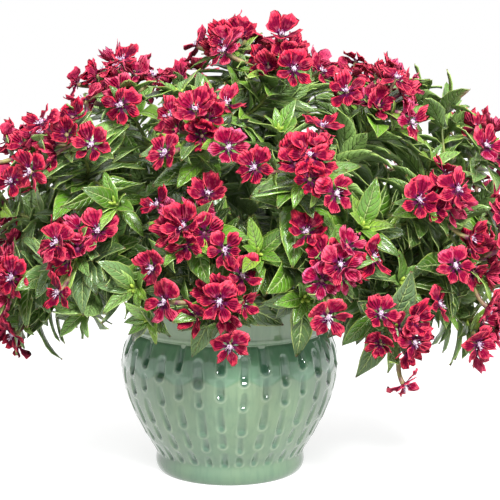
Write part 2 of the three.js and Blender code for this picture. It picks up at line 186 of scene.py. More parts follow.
# A living leaf blade: waxy and half glossy above, paler and duller below, quilted between
# arching side veins, with a thin pale margin and a tip that goes reddish
def leafMaterial():
    look = {
        "deep": 0x1e3809, "mid": 0x629228, "young": 0x9abc40, "vein": 0xb4cc80,
        "paintedSheen": 0x8eac80, "under": 0x84a460, "margin": 0xbcc868, "tip": 0x8f4636,
    }
    values = {"Roughness": 0.3, "IOR": 1.5, "Coat Weight": 0.35, "Coat Roughness": 0.22}
    material, tree, shader = newMaterial("leafBlade", values)
    # place on the blade, from -1 to 1 across and from 0 to 1 along
    spot = addNode(tree, "UVMap", {"uv_map": "blade"}, {})
    along = addNode(tree, "SeparateXYZ", {}, [spot], "Y")
    across = addNode(tree, "SeparateXYZ", {}, [spot], "X")
    across = addNode(tree, "Math", multiplyAdd, [across, 2, -1])
    side = addNode(tree, "Math", absolute, [across])
    # side veins every 5 to 6 mm along, which arch towards the tip and fade before the margin
    arch = addNode(tree, "Math", power, [side, 1.4])
    arch = addNode(tree, "Math", multiplyAdd, [arch, -0.2, along])
    wave = addNode(tree, "Math", multiply, [arch, 58])
    wave = addNode(tree, "Math", sine, [wave])
    wave = addNode(tree, "Math", multiplyAdd, [wave, 0.5, 0.5])
    veins = addNode(tree, "Math", power, [wave, 9])
    fading = [(0.0, 1.0), (0.9, 0.35), (1.0, 0.0)]
    fading = addNode(tree, "ValToRGB", {"stops": fading}, [side])
    veins = addNode(tree, "Math", multiply, [veins, fading])
    midrib = [(0.0, 1.0), (0.06, 0.8), (0.12, 0.0)]
    midrib = addNode(tree, "ValToRGB", {"stops": midrib}, [side])
    # each leaf's tone is its own age, dimmed by painted shade inside the mound and low down
    tone = addNode(tree, "Attribute", {"attribute_name": "tone"}, {}, "Fac")
    agesAndPaintedShade = [(0.0, look["deep"]), (0.55, look["mid"]), (1.0, look["young"])]
    base = addNode(tree, "ValToRGB", {"stops": agesAndPaintedShade}, [tone])
    # darker patches of 17 mm, and a greyish painted sheen in patches that cover whole leaves
    place = addNode(tree, "TexCoord", {}, {}, "Object")
    patches = addNode(tree, "TexNoise", {}, {"Vector": place, "Scale": 60, "Detail": 3})
    patches = addNode(tree, "ValToRGB", {"stops": [(0.4, 0.0), (0.75, 0.55)]}, [patches])
    bloom = addNode(tree, "TexNoise", {}, {"Vector": place, "Scale": 12, "Detail": 2})
    bloom = addNode(tree, "ValToRGB", {"stops": [(0.5, 0.0), (0.72, 0.5)]}, [bloom])
    paleVeins = addNode(tree, "Math", multiply, [veins, 0.55])
    paleMidrib = addNode(tree, "Math", multiply, [midrib, 0.75])
    margin = addNode(tree, "ValToRGB", {"stops": [(0.86, 0.0), (1.0, 0.45)]}, [side])
    tip = addNode(tree, "ValToRGB", {"stops": [(0.93, 0.0), (1.0, 0.6)]}, [along])
    back = addNode(tree, "Attribute", {"attribute_name": "back"}, {}, "Fac")
    back = addNode(tree, "Math", multiply, [back, 0.7])
    layers = [(patches, "deep"), (bloom, "paintedSheen"), (paleVeins, "vein"), (paleMidrib, "vein")]
    layers += [(margin, "margin"), (tip, "tip"), (back, "under")]
    for share, top in layers:
        base = addNode(tree, "Mix", mixColours, {0: share, 6: base, 7: colour(look[top])}, 2)
    tree.links.new(base, shader.inputs["Base Color"])
    sunken = addNode(tree, "Math", multiply, [midrib, -1])
    quilt = addNode(tree, "Math", multiplyAdd, [veins, -0.6, sunken])
    grain = addNode(tree, "TexNoise", {}, {"Vector": place, "Scale": 500, "Detail": 2})  # 2 mm
    quilt = addNode(tree, "Math", multiplyAdd, [grain, 0.3, quilt])
    bump = addNode(tree, "Bump", {}, {"Height": quilt, "Distance": 0.0022, "Strength": 1})
    tree.links.new(bump, shader.inputs["Normal"])
    return material


# A cuphea petal: thin crinkled velvet, crimson at its margin and wine to magenta inside, purple
# at the claw, with darker veins that fan out from it, and pinker behind
def petalMaterial():
    look = {
        "wine": 0x500222, "red": 0x9a0a3a, "blush": 0xe21c42, "margin": 0xf65268, "pink": 0xe86a94,
        "claw": 0x6c1c54, "vein": 0x40021e, "under": 0xc83a66, "edge": 0xfc8090,
    }
    values = {"Roughness": 0.6, "IOR": 1.36, "Specular IOR Level": 0.08}
    material, tree, shader = newMaterial("crinkledPetal", values)
    # place on the petal, from -1 to 1 across and from 0 to 1 along
    spot = addNode(tree, "UVMap", {"uv_map": "blade"}, {})
    along = addNode(tree, "SeparateXYZ", {}, [spot], "Y")
    across = addNode(tree, "SeparateXYZ", {}, [spot], "X")
    across = addNode(tree, "Math", multiplyAdd, [across, 2, -1])
    side = addNode(tree, "Math", absolute, [across])
    # the border between the two colours is ragged by 3 mm
    place = addNode(tree, "TexCoord", {}, {}, "Object")
    values = {"Vector": place, "Scale": 300, "Detail": 4, "Roughness": 0.6}
    ragged = addNode(tree, "TexNoise", {}, values)
    ragged = addNode(tree, "Math", multiplyAdd, [ragged, 0.6, -0.3])
    outwards = addNode(tree, "Math", power, [side, 1.7])
    forwards = addNode(tree, "Math", power, [along, 2.4])
    reach = addNode(tree, "Math", maximum, [outwards, forwards])
    reach = addNode(tree, "Math", add, [reach, ragged])
    eased = {"stops": [(0.42, 0.0), (0.8, 1.0)], "interpolation": "EASE"}
    reach = addNode(tree, "ValToRGB", eased, [reach])
    tone = addNode(tree, "Attribute", {"attribute_name": "tone"}, {}, "Fac")
    inside = [(0.0, look["wine"]), (1.0, look["red"])]
    inside = addNode(tree, "ValToRGB", {"stops": inside}, [tone])
    outside = [(0.0, look["blush"]), (0.7, look["margin"]), (0.96, look["pink"])]
    outside = addNode(tree, "ValToRGB", {"stops": outside}, [tone])
    # veins that fan out from the claw, 2 to 3 mm apart
    spread = addNode(tree, "Math", multiply, [across, 17])
    spread = addNode(tree, "Math", multiplyAdd, [ragged, 2.5, spread])
    fan = addNode(tree, "Math", sine, [spread])
    fan = addNode(tree, "Math", multiplyAdd, [fan, 0.5, 0.5])
    veins = addNode(tree, "Math", multiply, [fan, 0.32])
    margin = addNode(tree, "ValToRGB", {"stops": [(0.88, 0.0), (1.0, 0.3)]}, [side])
    end = addNode(tree, "ValToRGB", {"stops": [(0.9, 0.0), (1.0, 0.3)]}, [along])
    rimmed = addNode(tree, "Math", maximum, [margin, end])
    claw = addNode(tree, "Math", multiplyAdd, [ragged, 0.4, along])
    eased = {"stops": [(0.16, 1.0), (0.42, 0.0)], "interpolation": "EASE"}
    claw = addNode(tree, "ValToRGB", eased, [claw])
    back = addNode(tree, "Attribute", {"attribute_name": "back"}, {}, "Fac")
    back = addNode(tree, "Math", multiply, [back, 0.5])
    # crumples 4 mm across, with painted highlights on their crests and painted shade in the folds
    # between
    crumple = addNode(tree, "TexNoise", {}, {"Vector": place, "Scale": 240, "Detail": 3})
    paintedCrestLight = addNode(tree, "ValToRGB", {"stops": [(0.52, 0.0), (0.74, 0.24)]}, [crumple])
    paintedFoldShade = addNode(tree, "ValToRGB", {"stops": [(0.3, 0.45), (0.48, 0.0)]}, [crumple])
    base = addNode(tree, "Mix", mixColours, {0: reach, 6: inside, 7: outside}, 2)
    layers = [(veins, "vein"), (rimmed, "edge"), (claw, "claw"), (back, "under")]
    layers += [(paintedCrestLight, "edge"), (paintedFoldShade, "wine")]
    for share, top in layers:
        base = addNode(tree, "Mix", mixColours, {0: share, 6: base, 7: colour(look[top])}, 2)
    tree.links.new(base, shader.inputs["Base Color"])
    relief = addNode(tree, "Math", multiplyAdd, [fan, 0.35, crumple])
    bump = addNode(tree, "Bump", {}, {"Height": relief, "Distance": 0.0024, "Strength": 1})
    tree.links.new(bump, shader.inputs["Normal"])
    return material


# Plant parts that differ only in their colours: stem bark, calyx tubes, throat hairs and green
# buds, half matt skins with soft speckles 1000 / scale mm across
def growthMaterial(name, dark, light, scale, roughness, depth):
    material, tree, shader = newMaterial(name, {"Roughness": roughness, "IOR": 1.42})
    place = addNode(tree, "TexCoord", {}, {}, "Object")
    speckle = addNode(tree, "TexNoise", {}, {"Vector": place, "Scale": scale, "Detail": 3})
    shades = [(0.38, dark), (0.62, light)]
    shade = addNode(tree, "ValToRGB", {"stops": shades}, [speckle])
    tree.links.new(shade, shader.inputs["Base Color"])
    bump = addNode(tree, "Bump", {}, {"Height": speckle, "Distance": depth, "Strength": 1})
    tree.links.new(bump, shader.inputs["Normal"])
    return material


materials = {
    "glaze": glazeMaterial(),
    "soil": soilMaterial(),
    "leaf": leafMaterial(),
    "petal": petalMaterial(),
    "stem": growthMaterial("greenStem", 0x4d5a2c, 0x87904a, 90, 0.5, 0.0004),
    "calyx": growthMaterial("calyxTube", 0x6a2a4c, 0x8c8450, 120, 0.5, 0.0005),
    "tuft": growthMaterial("throatHairs", 0x66286a, 0xe4d0dc, 700, 0.7, 0.0005),
    "bud": growthMaterial("greenBud", 0x6f8a2c, 0xa9bb4e, 260, 0.5, 0.0004),
}
print("materials made")


# A mesh from a bmesh, which is used up
def newMesh(name, bm):
    mesh = bpy.data.meshes.new(name)
    bm.to_mesh(mesh)
    bm.free()
    return mesh


# Where a mesh's vertices are, in metres, one row each
def vertexPlaces(mesh):
    places = np.empty(len(mesh.vertices) * 3)
    mesh.vertices.foreach_get("co", places)
    return places.reshape(-1, 3)


# Shapes that repeat are made once and then bent into place: first a blade from -1 to 1
# across and 0 to 1 along, with its back one unit below its face
def flatBlade(across, along):
    bm = bmesh.new()
    uv = bm.loops.layers.uv.new("blade")
    bmesh.ops.create_grid(bm, x_segments=across, y_segments=along, size=1)
    bmesh.ops.solidify(bm, geom=bm.faces[:], thickness=1)
    back = bm.verts.layers.float.new("back")
    for vert in bm.verts:
        vert.co.y = (vert.co.y + 1) / 2
        vert[back] = 1.0 if vert.co.z < -0.5 else 0.0
    for face in bm.faces:
        for loop in face.loops:
            loop[uv].uv = ((loop.vert.co.x + 1) / 2, loop.vert.co.y)
    return template(bm)


# A closed rod of unit radius and unit length
def plainRod(sides, steps):
    bm = bmesh.new()
    uv = bm.loops.layers.uv.new("blade")
    bm.verts.layers.float.new("back")
    bmesh.ops.create_cone(bm, cap_ends=True, segments=sides, radius1=1, radius2=1, depth=1)
    bmesh.ops.translate(bm, vec=(0, 0, 0.5), verts=bm.verts[:])
    for i in range(1, steps):
        parts = bm.verts[:] + bm.edges[:] + bm.faces[:]
        bmesh.ops.bisect_plane(bm, geom=parts, plane_co=(0, 0, i / steps), plane_no=(0, 0, 1))
    for face in bm.faces:
        for loop in face.loops:
            loop[uv].uv = (0.5, loop.vert.co.z)
    return template(bm)


# A small closed ball of unit radius
def plainBall(columns, rings):
    bm = bmesh.new()
    bm.loops.layers.uv.new("blade")
    bm.verts.layers.float.new("back")
    bmesh.ops.create_uvsphere(bm, u_segments=columns, v_segments=rings, radius=1)
    return template(bm)


# Finishes a repeated shape: smooth, turned outwards, with its places as an array
def template(bm):
    bm.verts.layers.float.new("tone")
    bmesh.ops.recalc_face_normals(bm, faces=bm.faces[:])
    mesh = newMesh("template", bm)
    mesh.polygons.foreach_set("use_smooth", [True] * len(mesh.polygons))
    return mesh, vertexPlaces(mesh)


# Bends a template into its place (millimetres) and adds it to the piece
def addShape(piece, shape, places, tone, look):
    mesh, _ = shape
    looks = piece["looks"]
    if look not in looks:
        looks.append(look)
    mesh.vertices.foreach_set("co", (np.asarray(places) * mm).astype(np.float32).ravel())
    mesh.attributes["tone"].data.foreach_set("value", [tone] * len(mesh.vertices))
    mesh.polygons.foreach_set("material_index", [looks.index(look)] * len(mesh.polygons))
    piece["bm"].from_mesh(mesh)


def newPiece():
    return {"bm": bmesh.new(), "looks": []}


# Turns the gathered shapes into the object that stands for a CAD node
def finishPiece(piece, name, node):
    mesh = newMesh(name, piece["bm"])
    for look in piece["looks"]:
        mesh.materials.append(materials[look])
    item = newObject(name, mesh)
    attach(item, "root")
    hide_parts(node)
    return item


# The plant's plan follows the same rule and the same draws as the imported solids
plantPlan = {
    "seed": 9163,
    # the mound: its middle, how far it reaches sideways, forwards, up and down, and how square it is
    "centreX": 20, "middleZ": 205, "reachX": 214, "reachY": 168, "rise": 148, "fall": 114,
    "square": 2.8,
    # main stems: how far out and high they root, the first one's azimuth in radians, degrees from
    # the top to the lowest tips and to those that count as low, degrees between a stem's tips, and
    # how far one sprig stands up over the rest
    "stems": 14, "crown": 46, "rootZ": 128, "firstAzimuth": 1.94, "lowest": 120, "lowFrom": 60,
    "spread": 18, "peak": (42, -6, 22), "trunkSteps": 6, "branchSteps": 3,
    # shares of its length by which a stem rises, arches over, leans out and ends straight
    "stemRise": 0.4, "stemArch": 0.9, "stemLean": 0.06, "stemEnd": 0.42,
    # and by which a side branch heads for its tip, follows the stem and ends straight
    "branchAim": 0.25, "branchAlong": 0.12, "branchEnd": 0.35,
    # large flowers: the calyx tube, the share of sprays with five of them, then the degrees off
    # the branch and the reach, in tubes, of the crown flower and of the side ones
    "tube": 25, "fullSprays": 0.2, "crownTilt": 10, "sideTilt": 70, "crownReach": 1.55,
    "sideReach": 1.5, "sideVary": 8, "flowerTries": 12,
    # large leaves: their length near a tip and below it, width as a share of it, degrees off the
    # branch, degrees of bend, the turns that they try, and where their pairs sit
    "leafLength": (50, 60), "leafShare": 0.44, "leafAngle": 62, "leafDroop": 48,
    "leafSwings": (0, 24, -24, 48, -48, 12, -36, 66),
    "nearTip": 0.9, "branchSeats": (0.94, 0.6), "trunkSeats": (0.97, 0.84), "lowSeats": (0.62,),
}
fullTurn = 6.283
golden = math.pi * (3 - math.sqrt(5))  # the angle that keeps turned items well apart
up = np.array((0.0, 0.0, 1.0))
eastward = np.array((1.0, 0.0, 0.0))
moundMiddle = np.array((plantPlan["centreX"], 0, plantPlan["middleZ"]))


# A draw from 0 to 1 that depends on its keys alone: which item it is for, then what is drawn
def draw(*keys):
    h = plantPlan["seed"]
    for key in keys:
        h = ((h ^ key) * 0x9e3779b1) & 0xffffffff
        h ^= h >> 15
    h = (h * 0x85ebca6b) & 0xffffffff
    h ^= h >> 13
    return h / 4294967296


# A draw from -size to size
def wobble(size, *keys):
    return size * (2 * draw(*keys) - 1)


# A draw between two values
def ranged(limits, *keys):
    return limits[0] + (limits[1] - limits[0]) * draw(*keys)


def unit(vector):
    return vector / np.linalg.norm(vector)


def squareTo(vector, axis):
    return unit(vector - axis * np.dot(vector, axis))


# Two directions square to an axis and to each other
def sidesOf(axis):
    first = squareTo(up if abs(axis[2]) < 0.9 else eastward, axis)
    return first, np.cross(axis, first)


# From one direction towards another, square to it, by an angle
def swung(first, second, angle):
    return first * math.cos(angle) + second * math.sin(angle)


# Where the mound's rounded shell lies in a direction from its middle
def shellPoint(d):
    p = plantPlan
    q = p["square"]
    level = math.hypot(d[0], d[1])
    fullness = (level ** q + abs(d[2]) ** q) ** (-1 / q)
    sideways = (d[0] / (level + 1e-9)) ** 2
    reachZ = p["rise"] if d[2] > 0 else p["fall"] * (0.7 + 0.3 * sideways)
    return np.array((
        p["centreX"] + p["reachX"] * fullness * d[0],
        p["reachY"] * fullness * d[1],
        p["middleZ"] + reachZ * fullness * d[2],
    ))


# A place seen from the mound's middle, in shares of how far the mound reaches on each axis
def fromMiddle(place, fallShare):
    p = plantPlan
    reachZ = p["rise"] if place[2] > p["middleZ"] else fallShare * p["fall"]
    return (place - moundMiddle) / (p["reachX"], p["reachY"], reachZ)


# The level direction from the mound's axis to a place
def outwardOf(place):
    return unit(np.array((place[0] - plantPlan["centreX"], place[1], 0.0)))


def curvePoint(curve, t):
    t = np.asarray(t, float)[..., None]
    a, b, c, d = curve
    return (1 - t) ** 3 * a + 3 * (1 - t) ** 2 * t * b + 3 * (1 - t) * t * t * c + t ** 3 * d


# Points evenly spaced along the curve, measured on 200 chords
def spacedPoints(curve, places):
    times = np.linspace(0, 1, 201)
    chords = np.linalg.norm(np.diff(curvePoint(curve, times), axis=0), axis=1)
    lengths = np.concatenate([[0], np.cumsum(chords)])
    return curvePoint(curve, np.interp(np.asarray(places) * lengths[-1], lengths, times))


# The place at a share of a line's length, and the way the line runs there
def seatOn(line, t):
    place = t * (len(line) - 1)
    step = min(int(place), len(line) - 2)
    stretch = line[step + 1] - line[step]
    return line[step] + stretch * (place - step), unit(stretch)


# Three tips a stem, turned about its direction to where they keep farthest from the tips so far
def planTips(stem, direction, tips):
    first, second = sidesOf(direction)
    spread = math.tan(math.radians(plantPlan["spread"]))
    fans = []
    for turn in range(0, 120, 20):
        angles = [math.radians(turn + step) for step in (0, 120, 240)]
        fans.append([unit(direction + spread * swung(first, second, a)) for a in angles])
    rooms = [min([2.0] + [np.linalg.norm(a - b) for a in fan for b in tips]) for fan in fans]
    chosen = fans[rooms.index(max(rooms))]
    tips.extend(chosen)
    ends = []
    for k, towards in enumerate(chosen):
        heading = unit(towards + up * 0.3)
        tip = shellPoint(towards) + heading * wobble(11, stem, k, 1)
        if stem == 0 and k == 2:
            tip = tip + np.array(plantPlan["peak"])
        ends.append((tip, heading))
    return ends


# Main stems spread by the golden angle from the top down, each with two side branches
def planStems():
    p = plantPlan
    tips = []
    stems = []
    for i in range(p["stems"]):
        share = (i + 0.5) / p["stems"]
        polar = math.acos(1 - share * (1 - math.cos(math.radians(p["lowest"]))))
        azimuth = i * golden + p["firstAzimuth"]
        level = np.array((math.cos(azimuth), math.sin(azimuth), 0.0))
        direction = swung(up, level, polar)
        root = level * p["crown"] * math.sqrt(share) + up * p["rootZ"]
        ends = planTips(i, direction, tips)
        tip, heading = ends[0]
        reach = np.linalg.norm(tip - root)
        arch = p["stemArch"] * max(0, -direction[2])
        rising = root + up * (p["stemRise"] + arch) * reach + direction * p["stemLean"] * reach
        lead = (root, rising, tip - heading * p["stemEnd"] * reach, tip)
        points = spacedPoints(lead, np.linspace(0, 1, p["trunkSteps"] + 1))
        branches = [{"tip": tip, "heading": heading, "curve": lead, "points": points}]
        for n, (tip, heading) in enumerate(ends[1:]):
            step = p["trunkSteps"] - 3 + n
            share = 0.3 + 0.25 * n
            start = points[step] + (points[step + 1] - points[step]) * share
            along = unit(points[step + 1] - points[step])
            length = np.linalg.norm(tip - start)
            leaving = start + unit(tip - start) * p["branchAim"] * length
            leaving = leaving + along * p["branchAlong"] * length
            curve = (start, leaving, tip - heading * p["branchEnd"] * length, tip)
            own = spacedPoints(curve, np.linspace(0, 1, p["branchSteps"] + 1))
            branches.append({"tip": tip, "heading": heading, "curve": curve, "points": own})
        stems.append({"low": polar > math.radians(p["lowFrom"]), "branches": branches})
    return stems


# The first flower of a spray, its crown, follows the branch and the others stand off round it
def planFlower(spray, count, tip, heading, k, attempt, crown):
    p = plantPlan
    first, second = sidesOf(heading)
    swing = 7 * attempt if attempt % 2 else -7 * attempt
    ownTurn = (360 / (count - 1)) * k + wobble(10, spray, k, 2)
    turn = math.radians(wobble(180, spray, 7) + ownTurn + swing)
    if crown:
        tilt = math.radians(p["sideTilt"] + wobble(9, spray, k, 3) - 2 * attempt)
    else:
        tilt = math.radians(p["crownTilt"] + wobble(8, spray, k, 3) + 4 * attempt)
    lean = swung(first, second, turn)
    away = swung(heading, lean, tilt)
    start = crown["start"] + crown["away"] * (3 + 2.5 * k) if crown else tip + heading * 0.3
    share = p["sideReach" if crown else "crownReach"]
    reach = share * p["tube"] + wobble(p["sideVary"], spray, k, 4) + 0.7 * attempt
    throat = start + away * reach
    facing = unit(away + heading * 0.55 + outwardOf(throat) * 0.5 + up * 0.12)
    return {
        "start": start, "throat": throat, "away": away, "facing": facing, "crown": not crown,
        "size": 1 + wobble(0.08, spray, k, 5), "twist": math.radians(wobble(18, spray, k, 6)),
        "mark": throat + facing * 0.8,
    }


# A large leaf of a pair, at a share t of its branch
def planLeaf(points, t, stem, item, side, length, attempt):
    p = plantPlan
    seat, along = seatOn(points, t)
    first, second = sidesOf(along)
    swing = p["leafSwings"][attempt]
    turn = math.radians(wobble(40, stem, item, 8) + 90 * (item % 2) + 180 * side + swing)
    sideways = swung(first, second, turn)
    opening = math.radians(p["leafAngle"] + wobble(12, stem, item, side, 9) + 5 * attempt)
    direction = swung(along, sideways, opening)
    base = seat + sideways * 0.5
    face = squareTo(along * math.sin(opening) - sideways * math.cos(opening) + up * 0.55, direction)
    long = length * (1 + wobble(0.1, stem, item, side, 10)) * (0.85 if attempt > 4 else 1)
    droop = math.radians(p["leafDroop"] + wobble(22, stem, item, side, 12))
    sink = face * (1 - math.cos(droop)) / droop
    return {
        "base": base, "direction": direction, "face": face, "length": long, "droop": droop,
        "width": long * (p["leafShare"] + wobble(0.04, stem, item, side, 11)),
        "sideways": sideways, "mark": base + long * (direction * math.sin(droop) / droop - sink),
    }


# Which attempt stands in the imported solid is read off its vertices, at each item's mark
def vertexFinder(node):
    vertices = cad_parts[node].data.vertices
    tree = KDTree(len(vertices))
    for i, vertex in enumerate(vertices):
        tree.insert(vertex.co, i)
    tree.balance()
    near = 0.05 * mm
    return lambda item: tree.find(Vector(item["mark"] * mm))[2] < near


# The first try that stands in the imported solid, or none
def firstStanding(attempts, plan, stands):
    return next((item for item in map(plan, range(attempts)) if stands(item)), None)


# Adds to each stem the flowers and large leaves that stand
def planPlant():
    stems = planStems()
    for i, stem in enumerate(stems):
        stem["name"] = "stem_%02d" % (i + 1)
        stem["sprays"] = []
        for k, branch in enumerate(stem["branches"]):
            index = 3 * i + k
            name = "bloom_%02d" % (index + 1)
            stands = vertexFinder(name)
            count = 5 if draw(index, 13) < plantPlan["fullSprays"] else 4
            flowers = []
            for n in range(count):
                crown = flowers[0] if flowers else None
                flower = firstStanding(
                    plantPlan["flowerTries"],
                    lambda a: planFlower(index, count, branch["tip"], branch["heading"], n, a, crown),
                    stands,
                )
                if flower:
                    flower["key"] = 8 * index + n
                    flowers.append(flower)
            stem["sprays"].append({"name": name, "flowers": flowers, "index": index})
        stands = vertexFinder(stem["name"])
        stem["leaves"] = []
        item = 0
        for k, branch in enumerate(stem["branches"]):
            seats = plantPlan["branchSeats" if k else "trunkSeats"]
            if stem["low"] and not k:
                seats += plantPlan["lowSeats"]
            for t in seats:
                item += 1
                for side in (0, 1):
                    length = plantPlan["leafLength"][0 if t > plantPlan["nearTip"] else 1]
                    leaf = firstStanding(
                        len(plantPlan["leafSwings"]),
                        lambda a: planLeaf(branch["points"], t, i, item, side, length, a),
                        stands,
                    )
                    if leaf:
                        leaf["key"] = 64 * i + 2 * item + side
                        stem["leaves"].append(leaf)
    return stems


stems = planPlant()
flowerCount = sum(len(spray["flowers"]) for stem in stems for spray in stem["sprays"])
leafCount = sum(len(stem["leaves"]) for stem in stems)
print("plan read:", flowerCount, "flowers and", leafCount, "large leaves")
if not all(spray["flowers"] for stem in stems for spray in stem["sprays"]):
    raise SystemExit("a spray of the packed model has no flower that the plan knows")


# The pot, with prints carved in columns that are open towards the groove and closed by turns
potLook = {
    "columns": 32, "stepsPerColumn": 15, "turn": -3.6,
    # how deep the shoulder is sunk, how far rims stand out and how deep the carved skin is
    "shoulder": 0.6, "rim": 0.6, "wall": 3.5,
    # top and bottom height, half width, depth and darkness of each print, row by row
    "open": [(136, 108.5, 4.3, 3.2, 1.0), (103, 85.5, 3.8, 2.8, 1.0), (81, 57, 4.0, 2.3, 0.85),
             (54, 38, 3.5, 2.1, 0.8), (32, 18, 3.3, 2.1, 0.9)],
    "closed": [(121, 97.5, 4.6, 3.4, 1.0), (94, 77.5, 3.7, 2.6, 1.0), (75, 51, 3.9, 2.2, 0.85),
               (49, 34, 3.4, 2.1, 0.8), (30.5, 18, 3.3, 2.1, 0.9)],
    # how far up the slanting ledge at the foot of each print reaches, row by row
    "ledge": (6.0, 3.4, 3.0, 2.6, 2.4),
}
outerProfile = [(66, 0), (69.3, 5), (69, 11), (67.5, 17), (76, 30), (87, 51), (94.5, 69), (99, 88),
                (100, 103), (98, 115), (92.5, 128), (91, 131), (92.5, 148), (94, 159), (92.5, 162)]
innerProfile = [(86, 162), (93, 100.4), (75, 64.8), (57, 12)]


# A smooth line through the turned profile, closer together where it is carved
def outerLine():
    radii, heights = np.array(outerProfile, float).T
    fine = np.concatenate([
        np.linspace(0, 2, 3), np.linspace(3.2, 15, 8), np.linspace(16.2, 129.5, 94),
        np.linspace(130.2, 135, 8), np.linspace(137, 157, 9), [158.6, 160, 161.2],
    ])
    line = np.interp(fine, heights, radii)
    for _ in range(6):
        line[1:-1] = 0.25 * line[:-2] + 0.5 * line[1:-1] + 0.25 * line[2:]
    # a crisp groove under the collar and a rounded foot
    line -= 1.3 * np.exp(-((fine - 130.5) / 1.1) ** 2)
    line += 0.7 * np.exp(-((fine - 134) / 1.6) ** 2)
    return [(66, 0)] + list(zip(line[1:], fine[1:])) + [(92.4, 162), (90, 163), (87.2, 162.6)]


def smoothStep(low, high, value):
    t = np.clip((value - low) / (high - low), 0, 1)
    return t * t * (3 - 2 * t)


# How deep each thumb print goes in, how far its rim stands out and where the shoulder is sunk
def carving(angle, z, radius):
    pitch = 360 / potLook["columns"]
    place = (np.degrees(angle) - potLook["turn"]) / pitch
    column = np.round(place)
    sideways = np.radians((place - column) * pitch) * radius
    isOpen = column.astype(int) % 2 == 0
    depth, pool, rim = np.zeros((3, len(z)))
    for kind, rows in ((True, potLook["open"]), (False, potLook["closed"])):
        here = isOpen == kind
        for row, (top, bottom, half, deep, dark) in enumerate(rows):
            # pressed by hand: each print a little higher, wider and more slanted than the next
            top = top + 1.6 * np.sin(column * 2.7 + row * 1.9)
            bottom = bottom + 1.4 * np.sin(column * 1.7 + row * 2.9)
            down = np.clip((top - z) / (top - bottom), 0, 1)
            wide = half * (1 + 0.14 * np.sin(column * 3.9 + row * 2.3)) * (0.86 + 0.14 * down)
            slant = 0.5 * np.sin(column * 5.1 + row) + 0.05 * (z - bottom) * np.sin(column * 4.3 + row)
            dz = np.maximum(np.maximum(z - top + wide, bottom + 0.5 * wide - z), 0)
            away = np.hypot(sideways + slant, dz) - wide
            wall = np.where(here, smoothStep(0.5, -1.9, away), 0)
            ledge = np.clip((z - bottom - 0.3) / potLook["ledge"][row], 0, 1)
            start = 0.5 if row == 0 else 0.25
            press = start + (1 - start) * smoothStep(0.0, 0.8, down)
            depth = np.maximum(depth, wall * ledge * deep * press)
            pool = np.maximum(pool, wall * dark * (0.4 + 0.6 * down ** 3))
            edge = np.where(here, np.exp(-((away - 0.45) / 0.75) ** 2), 0)
            # the rim stands out most at each print's lower lip, where its weight also paints the
            # glaze's highlight
            raisedAndLit = 0.06 + 0.2 * smoothStep(0.0, 0.3, down) + 0.6 * smoothStep(0.65, 1.0, down)
            rim = np.maximum(rim, edge * raisedAndLit)
    # the sunk band under the collar, which the glaze also darkens with painted shade
    wavy = 100 - 3.5 * np.cos(np.pi * place)
    shoulder = smoothStep(wavy - 1.5, wavy + 1.5, z) * smoothStep(131, 129, z)
    plain = smoothStep(131.5, 130, z) * smoothStep(15.5, 19, z)
    return depth * plain, pool * plain, rim * plain, shoulder


# Spins a line of radii and heights about the pot's axis
def turnedBody(line, steps):
    bm = bmesh.new()
    verts = [bm.verts.new((r * mm, 0, z * mm)) for r, z in line]
    edges = [bm.edges.new(pair) for pair in zip(verts, verts[1:])]
    bmesh.ops.spin(
        bm, geom=verts + edges, axis=(0, 0, 1), cent=(0, 0, 0), steps=steps,
        angle=2 * math.pi, use_merge=True,
    )
    return bm


def makePot():
    bm = turnedBody(outerLine() + innerProfile, potLook["columns"] * potLook["stepsPerColumn"])
    openEdges = [edge for edge in bm.edges if edge.is_boundary]
    bmesh.ops.contextual_create(bm, geom=[e for e in openEdges if e.verts[0].co.z < mm])
    bmesh.ops.contextual_create(bm, geom=[e for e in openEdges if e.verts[0].co.z > mm])
    bmesh.ops.recalc_face_normals(bm, faces=bm.faces[:])
    mesh = newMesh("pot_glazed", bm)
    x, y, z = vertexPlaces(mesh).T / mm
    radius = np.hypot(x, y)
    angle = np.arctan2(x, -y)
    outerRadius = np.interp(z, *np.array(outerProfile, float).T[::-1])
    outer = radius > outerRadius - potLook["wall"]
    depth, pool, rim, shoulder = carving(angle, z, radius)
    sunk = depth + potLook["shoulder"] * shoulder - potLook["rim"] * rim
    moved = radius - np.where(outer, sunk, 0)
    scale = np.divide(moved, radius, out=np.ones(len(z)), where=radius > 1)
    mesh.vertices.foreach_set("co", (np.stack([x * scale, y * scale, z], 1) * mm).ravel())
    # stored for the glaze: pooling in the prints, pale rims with their painted highlight, and the
    # shoulder band's painted shade
    for name, values in (("pool", pool), ("rim", rim), ("shoulder", shoulder)):
        data = mesh.attributes.new(name, "FLOAT", "POINT").data
        data.foreach_set("value", np.where(outer, values, 0).astype(np.float32))
    mesh.polygons.foreach_set("use_smooth", [True] * len(mesh.polygons))
    mesh.materials.append(materials["glaze"])
    pot = newObject("pot_glazed", mesh)
    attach(pot, "root")
    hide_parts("pot")
    print("pot:", len(mesh.polygons), "faces")


makePot()

# The soil, which fills the pot to below its mouth
soilLook = {
    # radius and height along the floor and wall of the pot, up to the soil's edge
    "side": [(0.001, 12.4), (56, 12.4), (74, 64.8), (92, 100.4), (87, 136)],
    "level": 139.5, "loose": 84, "roughness": 1.6, "steps": 48,
    "crumbs": 90, "crumbReach": 80, "crumbSize": (1.5, 3.5),
}


